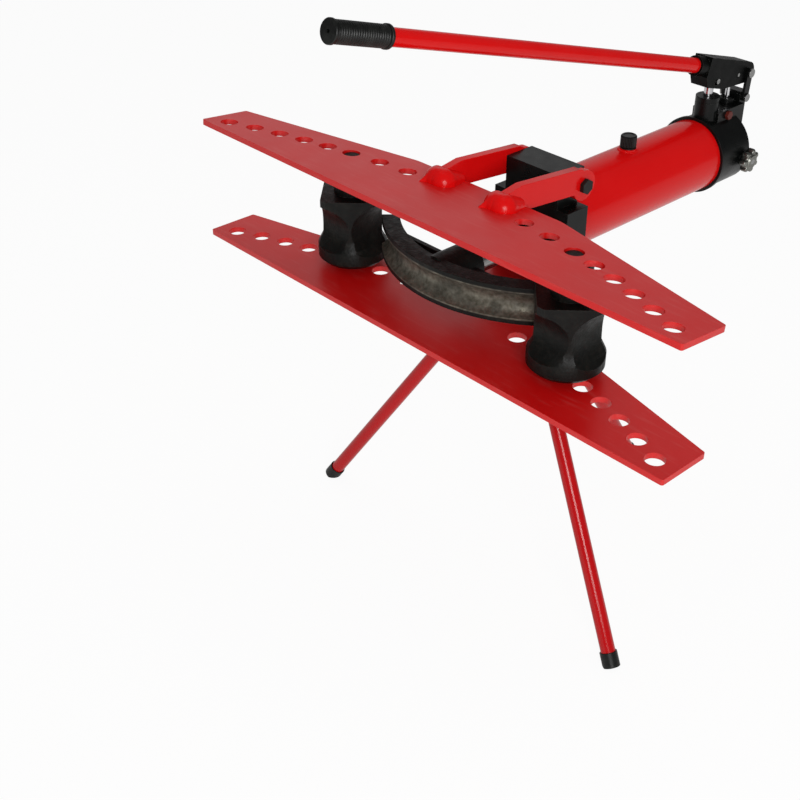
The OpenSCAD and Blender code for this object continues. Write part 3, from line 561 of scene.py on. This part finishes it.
# %% [markdown]
# ## Surfaces from arrays
# What the solids only sketch is worked out as surfaces: rows of points, each row one step along the piece.
# Rows and columns may close on themselves, as a ring does. Where a row shrinks to a point, merging the
# doubled points closes the pole, and the normals are then turned outwards. Grip, knob and cap are turned
# pieces: an outline carried round an axis, whose radius may swing with the angle.


# %% Grid of points to mesh
def grid_mesh(name, points, ring_rows):
    """Mesh of a rows x columns x 3 array: columns always close, rows close where ring_rows is true."""
    rows, columns = points.shape[:2]
    last = rows if ring_rows else rows - 1
    i, j = np.meshgrid(np.arange(last), np.arange(columns), indexing="ij")
    row = i * columns
    following = (i + 1) % rows * columns
    beside = (j + 1) % columns
    faces = np.stack([row + j, row + beside, following + beside, following + j], axis=-1)
    mesh = bpy.data.meshes.new(name)
    mesh.from_pydata(points.reshape(-1, 3), [], faces.reshape(-1, 4))
    work = bmesh.new()
    work.from_mesh(mesh)
    bmesh.ops.remove_doubles(work, verts=work.verts, dist=MERGE)
    bmesh.ops.dissolve_degenerate(work, edges=work.edges, dist=MERGE)
    bmesh.ops.recalc_face_normals(work, faces=work.faces)
    work.to_mesh(mesh)
    work.free()
    mesh.shade_smooth()
    mesh.set_sharp_from_angle(angle=SHARP_ANGLE)
    return mesh


print("points merge within mm", MERGE / MM)

# %% Turned pieces
NEARLY_UPRIGHT = 0.9
TURNED_COLUMNS = 64


def square_to(axis):
    """Two directions square to an axis and to each other: axis x helper, and axis x that."""
    helper = np.array([0.0, 0.0, 1.0]) if abs(axis[2]) < NEARLY_UPRIGHT else np.array([1.0, 0.0, 0.0])
    first = np.cross(axis, helper)
    first /= np.linalg.norm(first)
    return first, np.cross(axis, first)


def turned(name, place, axis, radius, height, ring_rows, swing=0.0, wave=np.zeros_like,
           columns=TURNED_COLUMNS):
    """A turned piece: radius + swing * wave(angle) round the axis, at each height along it."""
    first, second = square_to(np.asarray(axis, float))
    angle = np.arange(columns) * 2 * np.pi / columns
    round_axis = np.cos(angle)[:, None] * first + np.sin(angle)[:, None] * second
    swings = np.broadcast_to(swing, np.shape(radius))
    reach = np.asarray(radius)[:, None] + swings[:, None] * wave(angle)[None, :]
    along = np.asarray(height)[:, None, None] * np.asarray(axis, float)
    return grid_mesh(name, np.asarray(place) + along + reach[:, :, None] * round_axis[None, :, :], ring_rows)


print("columns round a turned piece", TURNED_COLUMNS)

# %% [markdown]
# ## Grip
# The grip is a moulded sleeve pushed on the handle: a flange at each end, and rings between them that keep
# the hand from sliding. Rings could be a bump in the rubber, but they show in the outline, so they are
# shape. It is a lathe form: its outline is carried round the handle's axis. That axis runs from the lever's
# fulcrum through the middle of the solid grip, and the length follows from the solid's box.

# %% Ringed grip
HANDLE_R = 0.014
GRIP_R = 0.0171
RING_DEPTH = 0.0012
RING_SHARPNESS = 6
RINGS = 22
RING_STEPS = 8
FLANGE_T = 0.006
FLANGE_ROUND = 0.0012
END_HOLE_R = 0.003
END_WALL = 0.008
grip_low, grip_high = (np.array(corner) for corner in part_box("handle_grip"))
fulcrum = np.array(JOINT["handle_pump"]["pos_m"])
grip_middle = (grip_low + grip_high) / 2
handle_way = (grip_middle - fulcrum) / np.linalg.norm(grip_middle - fulcrum)
flange_r = (grip_high[0] - grip_low[0]) / 2
grip_l = (grip_high[1] - grip_low[1] - 2 * flange_r * abs(handle_way[2])) / abs(handle_way[1])
ring_share = np.linspace(0.0, 1.0, RINGS * RING_STEPS + 1)
ring_z = FLANGE_T + ring_share * (grip_l - 2 * FLANGE_T)
ring_r = GRIP_R - RING_DEPTH * np.cos(np.pi * RINGS * ring_share) ** RING_SHARPNESS
flange_step = np.array([0.0, FLANGE_ROUND, FLANGE_T - FLANGE_ROUND, FLANGE_T])
flange_out = np.array([flange_r - FLANGE_ROUND, flange_r, flange_r, flange_r - FLANGE_ROUND])
grip_r = np.concatenate([[HANDLE_R], flange_out, ring_r, flange_out, [END_HOLE_R, END_HOLE_R, HANDLE_R]])
grip_z = np.concatenate([[0.0], flange_step, ring_z, grip_l - flange_step[::-1],
                         [grip_l, grip_l - END_WALL, grip_l - END_WALL]])
grip_mesh = turned("ringed_grip", grip_middle - handle_way * grip_l / 2, handle_way, grip_r, grip_z, True)
place_piece("ringed_grip", grip_mesh, "lever", "rubber", black_rubber, "handle_grip")
print("grip mm", round(grip_l / MM, 1), "flange mm", round(flange_r / MM, 1))

# %% [markdown]
# ## Release knob
# The release valve is opened by a die-cast star knob with seven lobes. The lobes could be cut from a disc
# one by one, but a knob is a lathe form whose radius swings slowly with the angle, and a flattened cosine
# gives it blunt lobes with finger gaps between them.

# %% Star knob
KNOB_LOBES = 7
KNOB_SWING = 0.0034
LOBE_FLATNESS = 1.6
LOBE_COLUMNS = 24
KNOB_HUB_R = 0.012
KNOB_HUB_SLOPE = 0.002
KNOB_ROUND = 0.004
KNOB_ROUND_STEPS = 6
KNOB_DISH_SHARE = 0.15
STEM_R = 0.006
knob_low, knob_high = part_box("release_knob")
knob_place = np.array(JOINT["release_knob_turn"]["pos_m"])
knob_place[0] = knob_low.x
knob_t = knob_high.x - knob_low.x
knob_r = (knob_high.z - knob_low.z) / 2 - KNOB_SWING
turn = np.linspace(0.0, np.pi / 2, KNOB_ROUND_STEPS)
side_r = knob_r - KNOB_ROUND + KNOB_ROUND * np.sin(turn)
side_z = KNOB_ROUND - KNOB_ROUND * np.cos(turn)
face_z = knob_t - KNOB_DISH_SHARE * knob_t
radius = np.concatenate([[STEM_R], side_r, side_r[::-1], [KNOB_HUB_R + KNOB_HUB_SLOPE, KNOB_HUB_R, STEM_R]])
height = np.concatenate([[0.0], side_z, face_z - side_z[::-1], [face_z, knob_t, knob_t]])
lobed = np.concatenate([[0.0], np.full(2 * len(turn), KNOB_SWING), [0.0, 0.0, 0.0]])
knob_mesh = turned("star_knob", knob_place, (1.0, 0.0, 0.0), radius, height, True, lobed,
                   lambda angle: np.tanh(LOBE_FLATNESS * np.cos(KNOB_LOBES * angle)),
                   columns=LOBE_COLUMNS * KNOB_LOBES)
place_piece("star_knob", knob_mesh, "release_valve", "cast_alloy", cast_alloy, "release_knob")
print("knob mm", round((knob_r + KNOB_SWING) / MM, 1), "thick mm", round(knob_t / MM, 1))

# %% [markdown]
# ## Filler cap
# The tank is filled through a neck with a plastic cap, whose knurled rim gives the fingers hold. It is made
# as the knob is, but its radius swings quickly with the angle, and only on the rim.

# %% Knurled filler cap
CAP_STEM_R = 0.010
CAP_STEM_L = 0.011
CAP_KNURLS = 30
KNURL_DEPTH = 0.0009
KNURL_SHARPNESS = 3
KNURL_COLUMNS = 6
CAP_ROUND = 0.0018
CAP_RIM = 2.5 * CAP_ROUND
CAP_DISH = 3 * CAP_ROUND
RIM_KNURL = 0.4
cap_low, cap_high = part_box("filler_cap")
cap_place = np.array(JOINT["filler_cap_turn"]["pos_m"])
cap_place[2] = cap_low.z
cap_h = cap_high.z - cap_low.z
cap_r = (cap_high.x - cap_low.x) / 2
dish_z = cap_h - CAP_ROUND / 2
radius = np.array([0.0, CAP_STEM_R, CAP_STEM_R, cap_r - CAP_ROUND, cap_r, cap_r, cap_r - CAP_ROUND,
                   cap_r - CAP_RIM, cap_r - CAP_DISH, 0.0])
height = np.array([0.0, 0.0, CAP_STEM_L, CAP_STEM_L, CAP_STEM_L + CAP_ROUND, cap_h - CAP_ROUND,
                   cap_h, cap_h, dish_z, dish_z])
knurled = np.array([0, 0, 0, RIM_KNURL, 1, 1, RIM_KNURL, 0, 0, 0]) * KNURL_DEPTH
cap_mesh = turned("knurled_cap", cap_place, (0.0, 0.0, 1.0), radius, height, False, knurled,
                  lambda angle: -np.abs(np.cos(CAP_KNURLS * angle / 2)) ** KNURL_SHARPNESS,
                  columns=KNURL_COLUMNS * CAP_KNURLS)
place_piece("knurled_cap", cap_mesh, "filler", "black_plastic", black_plastic, "filler_cap")
print("cap mm", round(cap_r / MM, 1), "high mm", round(cap_h / MM, 1))

# %% [markdown]
# ## Welds of the arms
# The arms are welded to the upper plate with a heavy run that buries the nose of each arm in a blunt lump,
# and leaves a spike of metal where the rod was pulled away. A bead could be a bevelled curve, but this run
# is high at the nose and low behind. So its section, a quarter of an ellipse, is carried along the outline
# of the arm's foot and scaled on the way. Its inner side reaches the arm's middle, so that the two sides
# close over the nose.

# %% Outline of an arm's foot
PLATE_TILT = math.radians(5.5)
NOSE_U = -0.205
WELD_REAR_U = -0.1615
SIDE_STEPS = 48
NOSE_STEPS = 64
hinge = np.array(JOINT["top_plate_hinge"]["pos_m"])


def tilted(x, u, w):
    """Point of the upper plate's own frame, turned by the plate's rest angle round the hinge."""
    y = u * math.cos(PLATE_TILT) + w * math.sin(PLATE_TILT)
    z = -u * math.sin(PLATE_TILT) + w * math.cos(PLATE_TILT)
    return np.stack(np.broadcast_arrays(x, y, z), axis=-1) + np.array([0.0, hinge[1], hinge[2]])


def foot_outline(middle_x, half):
    """Outline of an arm's foot: x, u, the turn round the nose, and the share of the way behind it.

    Two straight sides of x = middle_x +- half, joined by a half circle of radius half round the nose.
    """
    centre_u = NOSE_U + half
    along = np.linspace(WELD_REAR_U, centre_u, SIDE_STEPS, endpoint=False)
    share = (along - centre_u) / (WELD_REAR_U - centre_u)
    round_nose = np.linspace(0.0, np.pi, NOSE_STEPS)
    angle = np.concatenate([0 * along, round_nose, 0 * along + np.pi])
    straight = np.concatenate([along, 0 * round_nose + centre_u, along[::-1]])
    behind = np.concatenate([share, 0 * round_nose, share[::-1]])
    return middle_x + half * np.cos(angle), straight - half * np.sin(angle), angle, behind


print("welded length of a foot mm", round((WELD_REAR_U - NOSE_U) / MM, 1))

# %% Weld round the foot of each arm
SIDE_WELD = 0.023
FRONT_WELD = 0.017
REAR_WELD = 0.014
NOSE_WELD_H = 0.025
REAR_WELD_H = 0.012
RIPPLE = 0.006
RIPPLE_PITCH = 0.014
SPIKE_REACH = 0.55
SPIKE_ANGLE = 2.16
SPIKE_SPREAD = 0.11
SPIKE_SHARPNESS = 3
FOOT_DEPTH = 0.002
END_SHARE = 0.06
SECTION_STEPS = 14


def foot_weld(name, arm):
    """Lump of section (wide * sin, tall * cos) along an arm's foot, with a spike exp(-(a / spread)^2)."""
    low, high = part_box(arm)
    half = (high.x - low.x) / 2
    x, u, angle, behind = (row[:, None] for row in foot_outline((low.x + high.x) / 2, half))
    walked = np.cumsum(np.hypot(np.diff(x, axis=0, prepend=x[:1]), np.diff(u, axis=0, prepend=u[:1])), axis=0)
    ending = np.sqrt(np.clip((1 - behind) / END_SHARE, 0.0, 1.0))
    lumpy = ending * (1 + RIPPLE * np.sin(2 * np.pi * walked / RIPPLE_PITCH))
    sideways = np.abs(np.cos(angle))
    wide = FRONT_WELD + (SIDE_WELD - FRONT_WELD) * sideways + (REAR_WELD - SIDE_WELD) * behind
    wide = lumpy * wide
    tall = lumpy * (NOSE_WELD_H + (REAR_WELD_H - NOSE_WELD_H) * behind)
    turn = np.linspace(0.0, np.pi / 2, SECTION_STEPS)[None, :]
    spike = SPIKE_REACH * np.exp(-((angle - SPIKE_ANGLE) / SPIKE_SPREAD) ** 2)
    skin = wide * np.sin(turn) * (1 + spike * (1 - np.cos(turn)) ** SPIKE_SHARPNESS)
    inside = np.full_like(wide, -half)
    below = np.full_like(wide, -FOOT_DEPTH)
    reach = np.hstack([skin, skin[:, -1:], inside, inside])
    height = np.hstack([tall * np.cos(turn), below, below, tall])
    mesh = grid_mesh(name, tilted(x + np.cos(angle) * reach, u - np.sin(angle) * reach, height), False)
    return place_piece(name, mesh, body_of(arm), "red_paint", gloss_red)


welds = [foot_weld(arm + "_weld", arm) for arm in ("left_arm", "right_arm")]
print("arm welds", [len(weld.data.polygons) for weld in welds])

# %% [markdown]
# ## Ring welds
# The leg sockets and the filler neck have plain ring welds. Such a bead could be a torus, but that only
# fits a tube that stands square on a flat face. Here a round section is carried along the line where two
# surfaces meet: an upright neck on the round barrel gives a saddle, a leaning tube and the hub's flat
# underside give an ellipse.

# %% Weld round the filler neck
BEAD_COLUMNS = 12
BEAD_ROWS = 120
BEAD_WAVES = 26
BEAD_WAVE = 0.12
NECK_R = 0.017
NECK_BEAD = 0.0022
around = np.arange(BEAD_ROWS) * 2 * np.pi / BEAD_ROWS
upward = np.tile([0.0, 0.0, 1.0], (BEAD_ROWS, 1))


def ring_bead(name, line, outward, normal, bead_r, body):
    """A rippled bead of radius r along a closed line: line + r * (cos b * outward + sin b * normal)."""
    b = np.arange(BEAD_COLUMNS) * 2 * np.pi / BEAD_COLUMNS
    r = bead_r * (1 + BEAD_WAVE * np.sin(BEAD_WAVES * around))[:, None, None]
    section = np.cos(b)[None, :, None] * outward[:, None, :] + np.sin(b)[None, :, None] * normal[:, None, :]
    mesh = grid_mesh(name, line[:, None, :] + r * section, True)
    return place_piece(name, mesh, body, "red_paint", gloss_red)


barrel_low, barrel_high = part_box("barrel")
barrel_r = (barrel_high.x - barrel_low.x) / 2
barrel_z = barrel_low.z + barrel_r
neck_y = JOINT["filler_cap_turn"]["pos_m"][1]
out = np.column_stack([np.cos(around), np.sin(around), np.zeros(BEAD_ROWS)])
saddle = NECK_R * out + np.array([0.0, neck_y, barrel_z])
saddle[:, 2] += np.sqrt(barrel_r ** 2 - saddle[:, 0] ** 2)
ring_bead("neck_weld", saddle, out, upward, NECK_BEAD, body_of("barrel"))
print("neck weld round", 2 * NECK_R / MM, "mm, on a barrel of", round(2 * barrel_r / MM, 1), "mm")

# %% Welds round the leg sockets
SOCKET_R = 0.018
SOCKET_BEAD = 0.004
HUB_T = 0.010
HUB_Y = 0.280
LEG_START = 0.030
LEG_LEAN = math.radians(33.2)
LEG_ANGLES = {"front_left": 198, "front_right": -18, "rear": 90}
hub_under = plate_low.z - HUB_T
leg_out = LEG_START + (plate_high.z - hub_under) * math.tan(LEG_LEAN)
for leg, degrees in LEG_ANGLES.items():
    heading = np.array([math.cos(math.radians(degrees)), math.sin(math.radians(degrees)), 0.0])
    axis = heading * math.sin(LEG_LEAN) - np.array([0.0, 0.0, math.cos(LEG_LEAN)])
    centre = np.array([0.0, plate_low.y + HUB_Y, hub_under]) + heading * leg_out
    first, second = square_to(axis)
    rim = np.cos(around)[:, None] * first + np.sin(around)[:, None] * second
    slide = -(SOCKET_R * rim[:, 2]) / axis[2]
    line = centre + SOCKET_R * rim + slide[:, None] * axis
    flat = line - centre
    flat /= np.linalg.norm(flat, axis=1)[:, None]
    ring_bead(leg + "_socket_weld", line, flat, -upward, SOCKET_BEAD, body_of("stand_hub"))
print("socket welds", len(LEG_ANGLES))

# %% [markdown]
# ## Return spring
# The spring lies round the ram, between the head block and the ram's piston, and is pressed together as the
# ram goes out. A stiff coil would be run through, but here a copy of the solid coil only stands in for it at
# rest, fixed where it lies.

# %% Return spring
spring_solid = frame["nodes"]["return_spring"]
spring = bpy.data.objects.new("pressed_spring", spring_solid.data.copy())
bpy.context.scene.collection.objects.link(spring)
spring.matrix_world = spring_solid.matrix_world.copy()
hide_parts("return_spring")
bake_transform(spring)

# %% [markdown]
# ## Floor
# A sheet of white paper runs past the frame under the part. Lit paper alone comes out grey where the light
# falls off, and more light would bleach the paint. So the camera sees an even white glow mixed into the
# paper, which keeps a faint shadow, and mirroring paint sees a weaker glow.

# %% Floor
FLOOR_HALF = 9.0
FLOOR_DROP = 0.0005
FLOOR_TO_CAMERA = 0.93
FLOOR_TO_GLOSS = 0.3
PAPER_WHITE = "#F4F4F3"
GLOW_WHITE = "#FFFFFF"
floor_mesh = bpy.data.meshes.new("floor")
side = np.array([[-1, -1], [1, -1], [1, 1], [-1, 1]]) * FLOOR_HALF
floor_mesh.from_pydata(np.column_stack([side, np.full(len(side), -FLOOR_DROP)]), [], [[0, 1, 2, 3]])
floor = bpy.data.objects.new("floor", floor_mesh)
bpy.context.scene.collection.objects.link(floor)
floor_paper, paper, _ = start_finish("white_paper")
ray = add(paper, "LightPath").outputs
matt = add(paper, "BsdfDiffuse", {"Color": linear(PAPER_WHITE)})
glow = add(paper, "Emission", {"Color": linear(GLOW_WHITE), "Strength": 1.0})
seen = add(paper, "Math", {0: ray["Is Camera Ray"], 1: ray["Is Transmission Ray"]}, operation="MAXIMUM")
to_camera = add(paper, "Math", {0: seen, 1: FLOOR_TO_CAMERA}, operation="MULTIPLY")
to_gloss = add(paper, "Math", {0: ray["Is Glossy Ray"], 1: FLOOR_TO_GLOSS}, operation="MULTIPLY")
share = add(paper, "Math", {0: to_camera, 1: to_gloss}, operation="MAXIMUM")
add(paper, "OutputMaterial", {"Surface": add(paper, "MixShader", {0: share, 1: matt, 2: glow})})
floor_mesh.materials.append(floor_paper)
print("floor m", 2 * FLOOR_HALF)

# %% [markdown]
# ## World
# The world is white to the camera and to see-through rays, and an even soft sky to matt surfaces. An even
# white would turn glossy paint pale all over. So what paint mirrors is a dim room with one wide window
# behind the part, on the far side from the camera: the plates catch its shine, and the barrel stays red.

# %% World
AMBIENT = 0.45
ROOM = 0.13
WINDOW = 0.6
WINDOW_WAY = (-0.74, 0.55, 0.39)
WINDOW_RIM = 0.8
WINDOW_CORE = 0.99
world = bpy.data.worlds.new("studio")
bpy.context.scene.world = world
world.use_nodes = True
world.cycles.sampling_method = "NONE"
sky = world.node_tree
sky.nodes.clear()
way = add(sky, "TexCoord").outputs["Generated"]
facing = add(sky, "VectorMath", {0: way, 1: WINDOW_WAY}, operation="DOT_PRODUCT")
room = add(sky, "MapRange", {
    "Value": facing, "From Min": WINDOW_RIM, "From Max": WINDOW_CORE, "To Min": ROOM, "To Max": WINDOW},
    interpolation_type="SMOOTHSTEP")
ray = add(sky, "LightPath").outputs
seen = add(sky, "Math", {0: ray["Is Camera Ray"], 1: ray["Is Transmission Ray"]}, operation="MAXIMUM")
lit = add(sky, "Mix", {"Factor": ray["Is Glossy Ray"], "A": AMBIENT, "B": room}, data_type="FLOAT")
strength = add(sky, "Mix", {"Factor": seen, "A": lit, "B": 1.0}, data_type="FLOAT")
sky_light = add(sky, "Background", {"Color": linear(GLOW_WHITE), "Strength": strength})
add(sky, "OutputWorld", {"Surface": sky_light})
print("sky", AMBIENT, "room", ROOM, "window", WINDOW)

# %% [markdown]
# ## Lamps
# One wide soft lamp at the front right models the shapes, and a weak one overhead fills the tops. Paint
# mirrors the first, which gives the tubes their line of light. It doesn't mirror the second, which would
# lay a pale patch on the plates.


# %% Lamps
def lamp(name, place, target, size, power, glint):
    """A square soft light at place, whose -z axis points at target; paint mirrors it where glint is true."""
    data = bpy.data.lights.new(name, "AREA")
    data.size = size
    data.energy = power
    light = bpy.data.objects.new(name, data)
    light.visible_glossy = glint
    toward = np.array(target) - np.array(place)
    back = -toward / np.linalg.norm(toward)
    right = np.cross((0.0, 1.0, 0.0), back)
    right /= np.linalg.norm(right)
    stand(light, (right, np.cross(back, right), back), place)


MIDDLE = (0.0, 0.0, 0.6)
lamp("front light", (2.9, -2.4, 2.0), MIDDLE, size=1.6, power=88, glint=True)
lamp("top light", (-0.6, 0.6, 3.6), MIDDLE, size=2.4, power=20, glint=False)
bpy.context.scene.view_settings.view_transform = "Standard"
print("lamps", [light.name for light in bpy.data.lights])
